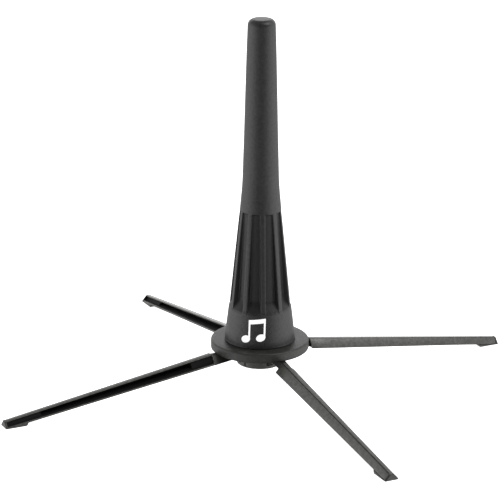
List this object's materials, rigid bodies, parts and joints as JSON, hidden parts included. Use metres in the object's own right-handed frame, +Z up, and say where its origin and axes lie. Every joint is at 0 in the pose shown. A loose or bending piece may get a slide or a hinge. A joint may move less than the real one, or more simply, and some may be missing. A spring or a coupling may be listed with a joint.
{
  "type": "trumpet stand",
  "caption": "Folding in-bell trumpet stand with a hollow ribbed black plastic peg, a round base flange and slim splayed folding metal legs with moulded feet.",
  "frame": {"origin": "on the ground under the peg's axis, at the bottom centre of the open stand", "axes": "+Z up along the peg, leg 1 along +X, leg 2 along +Y, legs numbered anticlockwise seen from above"},
  "size_m": [0.2712, 0.2712, 0.185],
  "materials": {
    "body_plastic": "fine-textured matte black moulded plastic",
    "foot_plastic": "smooth black moulded plastic",
    "leg_paint": "semi-gloss black powder coat",
    "hardware": "zinc-plated steel"
  },
  "bodies": {
    "hub": {"hub_lower": "body_plastic", "hub_upper": "body_plastic", "hub_screws": "hardware", "pivot_pin_1": "hardware", "pivot_pin_2": "hardware", "pivot_pin_3": "hardware", "pivot_pin_4": "hardware"},
    "peg": {"peg_shell": "body_plastic", "base_flange": "body_plastic", "flange_screws": "hardware"},
    "leg_1": {"leg_channel_1": "leg_paint", "leg_tongue_1": "foot_plastic", "foot_cap_1": "foot_plastic"},
    "leg_2": {"leg_channel_2": "leg_paint", "leg_tongue_2": "foot_plastic", "foot_cap_2": "foot_plastic"},
    "leg_3": {"leg_channel_3": "leg_paint", "leg_tongue_3": "foot_plastic", "foot_cap_3": "foot_plastic"},
    "leg_4": {"leg_channel_4": "leg_paint", "leg_tongue_4": "foot_plastic", "foot_cap_4": "foot_plastic"}
  },
  "joints": [
    {"name": "peg_lift", "type": "slide", "parent": "hub", "child": "peg", "axis": [0, 0, 1], "range_m": [0, 0.15]},
    {"name": "leg_1_fold", "type": "hinge", "parent": "hub", "child": "leg_1", "pos_m": [0.0082, 0, 0.0158], "axis": [0, -1, 0], "range_deg": [0, 98.74]},
    {"name": "leg_2_fold", "type": "hinge", "parent": "hub", "child": "leg_2", "pos_m": [0, 0.0082, 0.0158], "axis": [1, 0, 0], "range_deg": [0, 98.74]},
    {"name": "leg_3_fold", "type": "hinge", "parent": "hub", "child": "leg_3", "pos_m": [-0.0082, 0, 0.0158], "axis": [0, 1, 0], "range_deg": [0, 98.74]},
    {"name": "leg_4_fold", "type": "hinge", "parent": "hub", "child": "leg_4", "pos_m": [0, -0.0082, 0.0158], "axis": [-1, 0, 0], "range_deg": [0, 98.74]}
  ],
  "couplings": [
    {"joint": "leg_1_fold", "follows": "peg_lift", "rad_per_m": 11.484},
    {"joint": "leg_2_fold", "follows": "peg_lift", "rad_per_m": 11.484},
    {"joint": "leg_3_fold", "follows": "peg_lift", "rad_per_m": 11.484},
    {"joint": "leg_4_fold", "follows": "peg_lift", "rad_per_m": 11.484}
  ]
}
